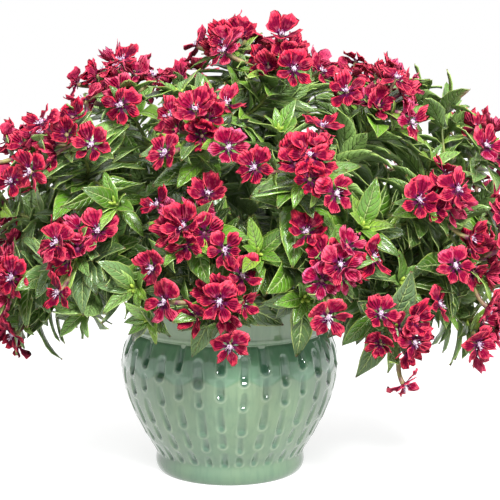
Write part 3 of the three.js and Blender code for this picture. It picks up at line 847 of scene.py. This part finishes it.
def makeSoil():
    line = soilLook["side"] + [(r, soilLook["level"]) for r in range(soilLook["loose"], 0, -6)]
    line.append((0.001, soilLook["level"]))
    bm = turnedBody(line, soilLook["steps"])
    bmesh.ops.remove_doubles(bm, verts=bm.verts[:], dist=0.05 * mm)
    bmesh.ops.recalc_face_normals(bm, faces=bm.faces[:])
    for n, vert in enumerate(bm.verts):
        onTop = vert.co.z > (soilLook["level"] - 1) * mm
        if onTop and math.hypot(vert.co.x, vert.co.y) < soilLook["loose"] * mm:
            vert.co.z += wobble(soilLook["roughness"], 900, n) * mm
    for n in range(soilLook["crumbs"]):
        reach = soilLook["crumbReach"] * math.sqrt(draw(901, n))
        turn = fullTurn * draw(902, n)
        place = Vector((reach * math.cos(turn), reach * math.sin(turn), soilLook["level"] + 1)) * mm
        size = ranged(soilLook["crumbSize"], 903, n) * mm
        crumb = bmesh.ops.create_icosphere(bm, subdivisions=1, radius=size)
        bmesh.ops.scale(bm, vec=(1, 0.8, 0.6), verts=crumb["verts"])
        bmesh.ops.translate(bm, vec=place, verts=crumb["verts"])
    piece = {"bm": bm, "looks": ["soil"]}
    soil = finishPiece(piece, "soil_mix", "soil")
    soil.data.polygons.foreach_set("use_smooth", [True] * len(soil.data.polygons))
    print("soil:", len(soil.data.polygons), "faces")


makeSoil()

# The shapes that stems, leaves and flowers are bent from
rods = {
    "stem": plainRod(8, 14), "small": plainRod(5, 3), "calyx": plainRod(7, 5), "hair": plainRod(3, 1),
}
blades = {
    "leaf": flatBlade(4, 8), "young": flatBlade(4, 5), "bract": flatBlade(2, 4),
    "broad": flatBlade(4, 5), "slim": flatBlade(3, 4),
}
balls = {"bud": plainBall(6, 5), "tuft": plainBall(7, 5)}

leafLook = {
    "trunk": (2.3, 1.5), "branch": (1.6, 1.3), "petiole": 1.0,  # radii from foot to tip
    "thickness": 0.6, "fold": 16, "ripple": 0.9, "waves": (9, 13),
    # share of the half width at each share of the length
    "outline": [(0, 0.06), (0.07, 0.2), (0.15, 0.62), (0.28, 0.94), (0.42, 1.0), (0.66, 0.8),
                (0.82, 0.47), (0.93, 0.2), (1, 0.03)],
    # young leaves: pairs a branch, where along it, length, angle off it, bend, roll, and their
    # width as a share of the length
    "seats": 21, "firstSeat": 0.05, "lastSeat": 0.95,
    "youngLength": (28, 50), "angle": 52, "angleVary": 14, "droop": (0.35, 0.85), "roll": 0.45,
    "share": 0.42, "shareVary": 0.05,
    # those low on the main stems hang out over the pot's rim
    "lowest": 0.36, "lowLength": (52, 66), "lowAngle": 75, "lowDroop": (0.9, 1.4), "lowRoll": 0.9,
    # how far they stay from what is there, the turns they try, and how much shorter at each try
    "clearance": 2.4, "swings": (0, 30, -30, 60, -60, 15), "shorter": 0.06,
    # the height and the reach from the axis past which they are clear of the pot
    "potTop": 166, "potReach": 103,
    # painted shade: leaves brighten outwards, in shares of the mound's reach, and upwards, in mm, to a
    # least share
    "outwards": (0.4, 0.8), "upwards": (140, 250), "dimmest": 0.35,
}


# A rod along a line of points, its radius given along it
def addRod(piece, shape, line, radii, tone, look):
    flat = shape[1]
    count = len(line)
    along = np.gradient(line, axis=0)
    along /= np.linalg.norm(along, axis=1, keepdims=True)
    first = np.empty_like(along)
    first[0] = sidesOf(along[0])[0]
    for i in range(1, count):
        first[i] = squareTo(first[i - 1], along[i])
    second = np.cross(along, first)
    place = np.clip(flat[:, 2], 0, 1) * (count - 1)
    low = np.minimum(place.astype(int), count - 2)
    part = (place - low)[:, None]

    def between(values):
        return values[low] * (1 - part) + values[low + 1] * part

    radius = np.interp(flat[:, 2], np.linspace(0, 1, len(radii)), radii)[:, None]
    ring = between(first) * flat[:, :1] + between(second) * flat[:, 1:2]
    addShape(piece, shape, between(np.asarray(line)) + ring * radius, tone, look)


# A leaf bent along its length, folded along its midrib and rippled at its margin
def leafPlaces(leaf, flat, key):
    across, y, layer = flat.T
    t = 0.5 * y + 0.25 * (1 - np.cos(math.pi * y))
    outline = np.array(leafLook["outline"]).T
    bend = (leaf["droop"] * t)[:, None]
    long = leaf["length"] / leaf["droop"]
    half = 0.5 * leaf["width"] * np.interp(t, *outline) * across
    fold = math.radians(leafLook["fold"])
    waves = t * ranged(leafLook["waves"], key, 20) + 6.28 * draw(key, 21) + across * 1.3
    ripple = leafLook["ripple"] * np.sin(waves) * across ** 2
    height = np.abs(half) * math.sin(fold) + ripple + (layer + 0.5) * leafLook["thickness"]
    sideways = np.cross(leaf["direction"], leaf["face"])
    normal = leaf["face"] * np.cos(bend) + leaf["direction"] * np.sin(bend)
    middle = leaf["base"] + leaf["direction"] * long * np.sin(bend)
    middle = middle - leaf["face"] * long * (1 - np.cos(bend))
    return middle + normal * height[:, None] + sideways * (half * math.cos(fold))[:, None]


def addLeaf(piece, leaf, key, tone, shape):
    places = leafPlaces(leaf, shape[1], key)
    # the tone is dimmed by painted shade where the leaf sits deep or low in the mound
    addShape(piece, shape, places, tone * paintedLightLevel(places.mean(axis=0)), "leaf")
    thick = leafLook["petiole"] * leaf["length"] / 55  # the full radius at 55 mm
    line = np.array([
        leaf["base"] - leaf["sideways"] * 1.6, leaf["base"] + leaf["direction"] * 2,
        leaf["base"] + leaf["direction"] * leaf["length"] * 0.1,
    ])
    addRod(piece, rods["small"], line, [thick, 0.85 * thick, 0.5 * thick], tone, "stem")
    return places


# A small leaf off an axis: its look gives limits for the degrees off it, for the length and for
# the bend, then how far the face turns up and the width as a share of the length
def smallLeaf(base, axis, sideways, look, keys, number):
    direction = swung(axis, sideways, math.radians(ranged(look["angle"], *keys, number)))
    length = ranged(look["length"], *keys, number + 1)
    return {
        "base": base, "direction": direction, "face": squareTo(axis + up * look["lift"], direction),
        "length": length, "width": look["share"] * length,
        "droop": ranged(look["droop"], *keys, number + 2),
    }


# How bright a leaf is painted: those inside the mound and low down get painted shade and are darker
def paintedLightLevel(place):
    near, far = leafLook["outwards"]
    low, high = leafLook["upwards"]
    outwards = (np.linalg.norm(fromMiddle(place, 1)) - near) / (far - near)
    upwards = (place[2] - low) / (high - low)
    return float(np.clip(outwards, 0.0, 1.0)) * float(np.clip(upwards, leafLook["dimmest"], 1.0))


# What stands already, so that a young leaf can look for room
def roomFinder(points):
    tree = KDTree(len(points))
    for i, point in enumerate(points):
        tree.insert(Vector(point * mm), i)
    tree.balance()
    look = leafLook
    gap = look["clearance"] * mm

    def hasRoom(place):
        clearOfPot = place[2] > look["potTop"] or math.hypot(place[0], place[1]) > look["potReach"]
        return clearOfPot and tree.find(Vector(place * mm))[2] > gap

    return hasRoom


# Blooms: two broad petals above and four slim ones below, on a calyx tube
bloomLook = {
    # angle from the top, half width in mm, length in mm
    "petals": [(-32, 8.3, 18.8), (32, 8.3, 18.8), (93, 5.4, 16.8), (150, 5.1, 16.6),
               (210, 5.1, 16.6), (267, 5.4, 16.8)],
    "thickness": 0.4, "mouth": 1.4, "rounding": 2.4, "ragged": 1.5,
    "ruffle": 2.4, "pitch": (8, 26), "roll": 28, "curl": 4.4,
    # share of the half width at each share of the length
    "broad": [(0, 0.12), (0.2, 0.16), (0.4, 0.62), (0.6, 0.95), (0.8, 1.0), (1, 0.74)],
    "slim": [(0, 0.2), (0.25, 0.28), (0.5, 0.8), (0.75, 1.0), (1, 0.66)],
    # radii along the stalk and the calyx tube, and half sizes of the tuft in the throat
    "stalk": (1.0, 0.8, 0.9), "calyx": (0.9, 1.9, 2.1, 1.9, 2.1, 2.4), "tuft": (2.3, 2.6, 1.6),
    "hairs": 7, "hair": (0.32, 0.2), "hairReach": (2.0, 3.5), "hairSpread": (1.2, 2.7),
    "stamens": 3, "stamen": (0.3, 0.5), "stamenReach": (4, 6),
    # the pair of bracts on a side flower's stalk
    "bract": {"angle": (45, 75), "length": (15, 25), "droop": (0.3, 0.9), "lift": 0.4, "share": 0.42},
    # younger flowers between the large ones: degrees off the crown flower, and how far shut
    "young": 5, "youngTilt": (30, 70), "youngReach": (15, 24), "youngSize": (0.8, 1.0),
    "youngCalyx": (0.8, 1.6, 1.9, 1.9), "youngShut": (10, 40),
    # green buds at the foot of a spray, and a collar of small leaves below its flowers
    "buds": 4, "budPlace": (5, 11), "bud": (1.5, 3.6), "collar": 7,
    "collarLeaf": {
        "angle": (38, 72), "length": (26, 44), "droop": (0.3, 1.0), "lift": 0.3, "share": 0.4,
    },
}


# A petal that stands out from the throat, notched and crinkled at its margin
def petalPlaces(flower, petal, n, flat, shut):
    angle, halfWidth, length = petal
    key = flower["key"]
    size = flower["size"] * (1 + wobble(0.07, key, n, 34))
    across, y, layer = flat.T
    kind = "broad" if n < 2 else "slim"
    turned = math.radians(angle + wobble(7, key, n, 35)) + flower["twist"]
    outline = np.array(bloomLook[kind]).T
    radial = swung(flower["upright"], flower["across"], turned)
    tangent = flower["across"] * math.cos(turned) - flower["upright"] * math.sin(turned)
    mouth = bloomLook["mouth"]
    column = np.round(across * 2).astype(int) + 2
    row = np.round(y * 8).astype(int)
    ragged = np.array([wobble(1, key, n, int(c), int(r), 30) for c, r in zip(column, row)])
    reach = mouth + (length * size - mouth) * y
    reach += (bloomLook["ragged"] * ragged - bloomLook["rounding"] * across ** 2) * y ** 2
    half = halfWidth * size * np.interp(y, *outline) * across * (1 + 0.12 * ragged)
    # each petal stands forward or bends back by its own pitch, and is turned about its length
    steady, loose = bloomLook["pitch"]
    pitch = math.radians(shut + steady + wobble(loose, key, n, 31))
    roll = math.radians(wobble(bloomLook["roll"], key, n, 33))
    lift = -1.0 * (1 - y) + reach * math.sin(pitch) * y ** 0.5 + half * math.sin(roll)
    reach, half = reach * math.cos(pitch), half * math.cos(roll)
    lift += bloomLook["ruffle"] * ragged * y ** 1.5 * (0.3 + 0.7 * np.abs(across))
    lift += bloomLook["curl"] * (draw(key, n, 32) - 0.35) * (0.5 * across ** 2 - y ** 3)
    lift += (layer + 0.5) * bloomLook["thickness"]
    spread = flower["throat"] + radial * reach[:, None] + tangent * half[:, None]
    return spread + flower["facing"] * lift[:, None]


# A flower's petals round its throat, turned by a spare direction where it faces straight up
def addPetals(piece, flower, spare, tones, shut):
    facing = flower["facing"]
    flower["upright"] = squareTo(up if abs(facing[2]) < 0.95 else spare, facing)
    flower["across"] = np.cross(facing, flower["upright"])
    for n, (petal, tone) in enumerate(zip(bloomLook["petals"], tones)):
        shape = blades["broad" if n < 2 else "slim"]
        addShape(piece, shape, petalPlaces(flower, petal, n, shape[1], shut), tone, "petal")


def addFlower(piece, flower):
    key = flower["key"]
    facing = flower["facing"]
    throat = flower["throat"]
    # calyx tube, slightly bowed, from its seat to the mouth
    start, end = flower["start"], throat - facing * 0.6
    reach = np.linalg.norm(end - start)
    curve = (start, start + flower["away"] * reach * 0.4, end - facing * reach * 0.3, end)
    seat = max(0.08, 1 - plantPlan["tube"] / reach)
    stalk = curvePoint(curve, np.linspace(0, seat + 0.04, 4))
    addRod(piece, rods["small"], stalk, bloomLook["stalk"], draw(key, 46), "stem")
    line = curvePoint(curve, np.linspace(seat, 1, 6))
    addRod(piece, rods["calyx"], line, bloomLook["calyx"], draw(key, 40), "calyx")
    if not flower["crown"]:
        addBracts(piece, flower, stalk[-1])
    # most of the tone is shared by all the petals
    petals = len(bloomLook["petals"])
    tones = [0.65 * draw(key, 41) + 0.35 * draw(key, n, 42) for n in range(petals)]
    addPetals(piece, flower, flower["away"], tones, 0)
    # the hairy tuft on the upper lip, and stamens below it
    centre = throat + facing * 0.6 + flower["upright"] * 0.8
    ball = balls["tuft"][1]
    lumps = 1 + 0.25 * np.sin(ball[:, :1] * 7 + key) * np.cos(ball[:, 1:2] * 6)
    wide, high, deep = bloomLook["tuft"]
    tuft = flower["across"] * ball[:, :1] * wide + flower["upright"] * ball[:, 1:2] * high
    tuft = (tuft + facing * (ball[:, 2:] * deep)) * lumps + centre
    addShape(piece, balls["tuft"], tuft, 0.5, "tuft")
    for n in range(bloomLook["hairs"] + bloomLook["stamens"]):
        hair = n < bloomLook["hairs"]
        turn = fullTurn * (n + draw(key, n, 43)) / bloomLook["hairs"]
        lean = swung(flower["upright"], flower["across"], turn)
        if hair:
            foot = centre + lean * 1.5
            tip = foot + facing * ranged(bloomLook["hairReach"], key, n, 44)
            tip = tip + lean * ranged(bloomLook["hairSpread"], key, n, 45)
        else:
            foot = throat - flower["upright"] * 0.8
            tip = foot + facing * ranged(bloomLook["stamenReach"], key, n, 44)
            tip = tip - flower["upright"] * 2 + lean * 1.3
        line = np.array([foot, 0.5 * (foot + tip) + facing * 0.3, tip])
        addRod(piece, rods["hair"], line, bloomLook["hair" if hair else "stamen"], 0.5, "tuft")


# A pair of small leaves where a side flower's stalk meets its calyx
def addBracts(piece, flower, base):
    key = flower["key"]
    first, second = sidesOf(flower["away"])
    for side in (0, 1):
        turn = fullTurn * draw(key, 90) + math.pi * side
        sideways = swung(first, second, turn)
        leaf = smallLeaf(base, flower["away"], sideways, bloomLook["bract"], (key, side), 91)
        places = leafPlaces(leaf, blades["bract"][1], key + side)
        addShape(piece, blades["bract"], places, 0.2 + 0.7 * draw(key, side, 94), "leaf")


# A younger flower between the large ones, on a shorter tube and still cupped
def addYoungFlower(piece, spray, crown, n):
    index = spray["index"]
    first, second = sidesOf(crown["away"])
    turn = fullTurn * (n + 0.5 + 0.4 * draw(index, n, 70)) / bloomLook["young"]
    lean = swung(first, second, turn)
    tilt = math.radians(ranged(bloomLook["youngTilt"], index, n, 71))
    away = swung(crown["away"], lean, tilt)
    start = crown["start"] + crown["away"] * (6 + 2.5 * n)
    throat = start + away * ranged(bloomLook["youngReach"], index, n, 72)
    line = curvePoint((start, start + away * 5, throat - away * 5, throat), np.linspace(0, 1, 4))
    addRod(piece, rods["small"], line, bloomLook["youngCalyx"], draw(index, n, 73), "calyx")
    flower = {
        "key": 2048 + 8 * index + n, "size": ranged(bloomLook["youngSize"], index, n, 74),
        "throat": throat, "facing": unit(away + outwardOf(throat) * 0.6 + up * 0.1),
        "twist": wobble(0.5, index, n, 76),
    }
    tones = [draw(index, n, 75)] * len(bloomLook["petals"])
    addPetals(piece, flower, first, tones, ranged(bloomLook["youngShut"], index, n, 77))


# A small green bud that points along an axis
def addBud(piece, middle, axis):
    ball = balls["bud"][1]
    side, other = sidesOf(axis)
    thick, long = bloomLook["bud"]
    places = middle + axis * ball[:, 2:] * long + (side * ball[:, :1] + other * ball[:, 1:2]) * thick
    addShape(piece, balls["bud"], places, 0.5, "bud")


def makeBloom(spray, standing):
    piece = newPiece()
    for flower in spray["flowers"]:
        addFlower(piece, flower)
    crown = spray["flowers"][0]
    for n in range(bloomLook["young"]):
        addYoungFlower(piece, spray, crown, n)
    index = spray["index"]
    first, second = sidesOf(crown["away"])
    # green buds at the foot of the spray, and a collar of small leaves below the flowers
    for n in range(bloomLook["buds"]):
        turn = fullTurn * (n + draw(index, n, 50)) / bloomLook["buds"]
        lean = swung(first, second, turn)
        place = ranged(bloomLook["budPlace"], index, n, 51)
        middle = crown["start"] + crown["away"] * place + lean * 3.4
        addBud(piece, middle, unit(crown["away"] + lean * 0.8))
    for n in range(bloomLook["collar"]):
        turn = fullTurn * (n + 0.6 * draw(index, n, 52)) / bloomLook["collar"]
        sideways = swung(first, second, turn)
        base = crown["start"] + crown["away"] * (1 + 1.5 * n) + sideways * 0.8
        leaf = smallLeaf(base, crown["away"], sideways, bloomLook["collarLeaf"], (index, n), 53)
        places = leafPlaces(leaf, blades["young"][1], index * 8 + n)
        addShape(piece, blades["young"], places, 0.1 + 0.8 * draw(index, n, 56), "leaf")
    item = finishPiece(piece, spray["name"].replace("bloom", "spray"), spray["name"])
    # every third vertex is enough for the leaves that keep clear of the spray
    standing.append(vertexPlaces(item.data)[::3] / mm)
    return item


def makeBlooms():
    standing = []
    faces = 0
    for stem in stems:
        for spray in stem["sprays"]:
            faces += len(makeBloom(spray, standing).data.polygons)
    print("blooms:", faces, "faces")
    return standing


standing = makeBlooms()


# Stems with their branches and large leaves first, then side shoots and young leaves where
# room is left
def makeStems(standing):
    pieces = []
    for stem in stems:
        piece = newPiece()
        for k, branch in enumerate(stem["branches"]):
            line = spacedPoints(branch["curve"], np.linspace(0, 1, 15))
            thick = leafLook["branch" if k else "trunk"]
            addRod(piece, rods["stem"], line, thick, 0.4, "stem")
            standing.append(line)
        for leaf in stem["leaves"]:
            tone = 0.15 + 0.6 * draw(leaf["key"], 60)
            standing.append(addLeaf(piece, leaf, leaf["key"], tone, blades["leaf"]))
        pieces.append(piece)
    shoots = planShoots()
    seats = np.linspace(leafLook["firstSeat"], leafLook["lastSeat"], leafLook["seats"])
    young = 0
    for i, (stem, piece) in enumerate(zip(stems, pieces)):
        hasRoom = roomFinder(np.concatenate(standing))
        for shoot in shoots:
            if shoot["stem"] == i:
                addShoot(piece, shoot, hasRoom, standing)
        hasRoom = roomFinder(np.concatenate(standing))
        for k, branch in enumerate(stem["branches"]):
            line = spacedPoints(branch["curve"], np.linspace(0, 1, 31))
            for n, t in enumerate(seats):
                for side in (0, 1):
                    leaf = youngLeaf(line, t, i, k, n, side, hasRoom)
                    if not leaf:
                        continue
                    key = 4096 + 256 * i + 64 * k + 2 * n + side
                    tone = 0.05 + 0.95 * draw(key, 61) ** 1.6
                    standing.append(addLeaf(piece, leaf, key, tone, blades["young"]))
                    young += 1
    faces = 0
    for stem, piece in zip(stems, pieces):
        item = finishPiece(piece, stem["name"].replace("stem", "leafy_stem"), stem["name"])
        faces += len(item.data.polygons)
    print("stems:", faces, "faces, with", young, "young leaves")


# Leafy side shoots without blooms, each sent from the handiest branch into the widest gap left
shootLook = {
    "count": 40, "choices": 300, "lowest": 118, "fallShare": 0.85, "depth": 0.95, "thick": (1.3, 0.9),
    "seats": (0.3, 0.45, 0.6, 0.75, 0.9),
    # which of a branch's 30 steps they may leave from, and what a sharp turn and a stump cost
    "steps": range(9, 25), "sharpCost": 90, "stumpLength": 30, "stumpCost": 4,
    # the tuft of leaves and buds at the tip
    "tipLeaves": 6, "tipBuds": 3,
    "tipLeaf": {"angle": (22, 56), "length": (20, 36), "droop": (0.3, 0.8), "lift": 0.3, "share": 0.4},
    # tips of the last few shoots, which square the mound's shoulder
    "shoulder": [(196, -14, 334), (172, 30, 346), (206, 30, 312)],
}


def planShoots():
    look = shootLook
    lowest = 1 - math.cos(math.radians(look["lowest"]))
    ways = []
    for n in range(look["choices"]):
        polar = math.acos(1 - (n + 0.5) / look["choices"] * lowest)
        level = (math.cos(n * golden), math.sin(n * golden))
        ways.append(np.array((math.sin(polar) * level[0], math.sin(polar) * level[1], math.cos(polar))))
    ways = np.array(ways)
    branches = [branch for stem in stems for branch in stem["branches"]]
    taken = [unit(fromMiddle(branch["tip"], look["fallShare"])) for branch in branches]
    lines = [spacedPoints(branch["curve"], np.linspace(0, 1, 31)) for branch in branches]
    shoots = []
    for n in range(look["count"] + len(look["shoulder"])):
        if n < look["count"]:
            gaps = np.min([np.linalg.norm(ways - way, axis=1) for way in taken], axis=0)
            way = ways[np.argmax(gaps)]
            taken.append(way)
            end = moundMiddle + look["depth"] * (shellPoint(way) - moundMiddle)
        else:
            end = np.array(look["shoulder"][n - look["count"]], float)
            way = unit(end - moundMiddle)
        heading = unit(way + up * 0.25)
        best = None
        for owner, line in enumerate(lines):
            for step in look["steps"]:
                along = unit(line[step + 1] - line[step])
                reach = end - line[step]
                length = np.linalg.norm(reach)
                # a short way is cheap, but not a sharp turn or a stump
                sharp = look["sharpCost"] * max(0, 0.5 - np.dot(along, reach) / length)
                cost = length + sharp + look["stumpCost"] * max(0, look["stumpLength"] - length)
                if best is None or cost < best[0]:
                    best = (cost, owner, line[step], along, length)
        _, owner, start, along, length = best
        curve = (start, start + along * 0.4 * length, end - heading * 0.3 * length, end)
        shoots.append({"stem": owner // 3, "curve": curve, "heading": heading, "n": n})
    return shoots


def addShoot(piece, shoot, hasRoom, standing):
    look = shootLook
    line = spacedPoints(shoot["curve"], np.linspace(0, 1, 15))
    addRod(piece, rods["stem"], line, look["thick"], 0.4, "stem")
    line = spacedPoints(shoot["curve"], np.linspace(0, 1, 31))
    n = shoot["n"]
    for seat, t in enumerate(look["seats"]):
        for side in (0, 1):
            leaf = youngLeaf(line, t, 40 + n, 1, seat, side, hasRoom)
            if leaf:
                key = 9000 + 16 * n + 2 * seat + side
                tone = 0.1 + 0.8 * draw(n, seat, side, 80) ** 1.5
                standing.append(addLeaf(piece, leaf, key, tone, blades["young"]))
    # the tip: small upright leaves round a knot of buds
    tip, heading = line[-1], shoot["heading"]
    first, second = sidesOf(heading)
    for k in range(look["tipLeaves"]):
        turn = fullTurn * (k + 0.5 * draw(n, k, 81)) / look["tipLeaves"]
        sideways = swung(first, second, turn)
        leaf = smallLeaf(tip - heading * (1 + k), heading, sideways, look["tipLeaf"], (n, k), 82)
        places = leafPlaces(leaf, blades["young"][1], 9500 + 8 * n + k)
        addShape(piece, blades["young"], places, 0.35 + 0.5 * draw(n, k, 85), "leaf")
    for k in range(look["tipBuds"]):
        turn = fullTurn * k / look["tipBuds"]
        lean = swung(first, second, turn)
        addBud(piece, tip + heading * (3 + 2 * draw(n, k, 86)) + lean * 2.2, unit(heading + lean * 0.6))


# A young leaf of a pair, turned about its stem until it has room, or none
def youngLeaf(line, t, stem, branch, n, side, hasRoom):
    base, along = seatOn(line, t)
    first, second = sidesOf(along)
    isLow = branch == 0 and t < leafLook["lowest"]
    lengths = leafLook["lowLength" if isLow else "youngLength"]
    for attempt, swing in enumerate(leafLook["swings"]):
        turn = math.radians(360 * draw(stem, branch, n, 62) + 180 * side + swing)
        sideways = swung(first, second, turn)
        if isLow:
            outward = unit(np.array((base[0], base[1], 0.0)) + 40 * sideways * (1, 1, 0))
            sideways = squareTo(outward, along)
        angle = leafLook["lowAngle" if isLow else "angle"]
        opening = math.radians(angle + wobble(leafLook["angleVary"], stem, branch, n, side, 63))
        direction = swung(along, sideways, opening)
        face = squareTo(along * math.sin(opening) - sideways * math.cos(opening) + up * 0.5, direction)
        roll = wobble(leafLook["lowRoll" if isLow else "roll"], stem, branch, n, side, 67)
        face = face * math.cos(roll) + np.cross(direction, face) * math.sin(roll)
        length = ranged(lengths, stem, branch, n, side, 64) * (1 - leafLook["shorter"] * attempt)
        droop = ranged(leafLook["lowDroop" if isLow else "droop"], stem, branch, n, side, 66)
        share = leafLook["share"] + wobble(leafLook["shareVary"], stem, branch, n, side, 65)
        leaf = {
            "base": base + sideways * 1.2, "direction": direction, "face": face, "length": length,
            "width": length * share, "droop": droop, "sideways": sideways,
        }
        probe = np.array([[x, y, -0.5] for x in (-1, 0, 1) for y in (0.35, 0.6, 0.8, 1.0)])
        if all(hasRoom(point) for point in leafPlaces(leaf, probe, 1)):
            return leaf
    return None


makeStems(standing)

# Floor, lights and view
studio = {
    # how strongly the white walls light the plant, and how bright they look and are mirrored
    "world": 0.16, "backdrop": 1.0, "reflected": 0.9,
    # name, where the light comes from, angle across, strength
    "suns": [("key", (0.45, -1.15, 1.1), 12, 4.1), ("overhead", (-0.2, 0.15, 1.0), 70, 2.0)],
    # name, place, width and height, power in watts
    "lamps": [("strip", (0.45, -1.7, 1.5), (1.3, 0.4), 48)],
    "floor": {"Roughness": 0.9, "Emission Strength": 0.81, "Emission Color": colour(0xffffff)},
}


def addLamp(name, kind, place, settings):
    data = bpy.data.lights.new(name, kind)
    for setting, value in settings.items():
        setattr(data, setting, value)
    lamp = newObject(name, data)
    lamp.location = place
    aim = Vector((0, 0, 0.2)) if kind == "AREA" else Vector((0, 0, 0))
    lamp.rotation_euler = (aim - Vector(place)).to_track_quat("-Z", "Y").to_euler()


def makeStudio():
    bm = bmesh.new()
    bmesh.ops.create_grid(bm, x_segments=1, y_segments=1, size=6)
    mesh = newMesh("floor", bm)
    # Matt white film over a light table, which lifts all but the shadow at the pot's foot to white
    material, tree, shader = newMaterial("lightTableFilm", studio["floor"])
    place = addNode(tree, "TexCoord", {}, {}, "Object")
    clouds = addNode(tree, "TexNoise", {}, {"Vector": place, "Scale": 30, "Detail": 2})
    shades = [(0.0, 0x8c8c8c), (1.0, 0x949494)]
    shade = addNode(tree, "ValToRGB", {"stops": shades}, [clouds])
    tree.links.new(shade, shader.inputs["Base Color"])
    mesh.materials.append(material)
    floor = newObject("floor", mesh)
    world = bpy.data.worlds.new("studio")
    bpy.context.scene.world = world
    world.use_nodes = True
    background = next(n for n in world.node_tree.nodes if n.type == "BACKGROUND")
    background.inputs["Color"].default_value = colour(0xffffff)
    # the white walls show in the view and in reflections, and light the plant less than they show
    tree = world.node_tree
    mirrored = addNode(tree, "LightPath", {}, {}, "Is Glossy Ray")
    seen = addNode(tree, "LightPath", {}, {}, "Is Camera Ray")
    shown = addNode(tree, "Math", multiply, [mirrored, studio["reflected"]])
    shown = addNode(tree, "Math", maximum, [shown, seen])
    gain = studio["backdrop"] - studio["world"]
    strength = addNode(tree, "Math", multiplyAdd, [shown, gain, studio["world"]])
    tree.links.new(strength, background.inputs["Strength"])
    for name, place, angle, strength in studio["suns"]:
        addLamp(name, "SUN", place, {"angle": math.radians(angle), "energy": strength})
    for name, place, (width, height), power in studio["lamps"]:
        settings = {"shape": "RECTANGLE", "size": width, "size_y": height, "energy": power}
        addLamp(name, "AREA", place, settings)
    view = bpy.context.scene.view_settings
    view.view_transform = "Standard"
    view.look = "None"


makeStudio()
print("studio set")
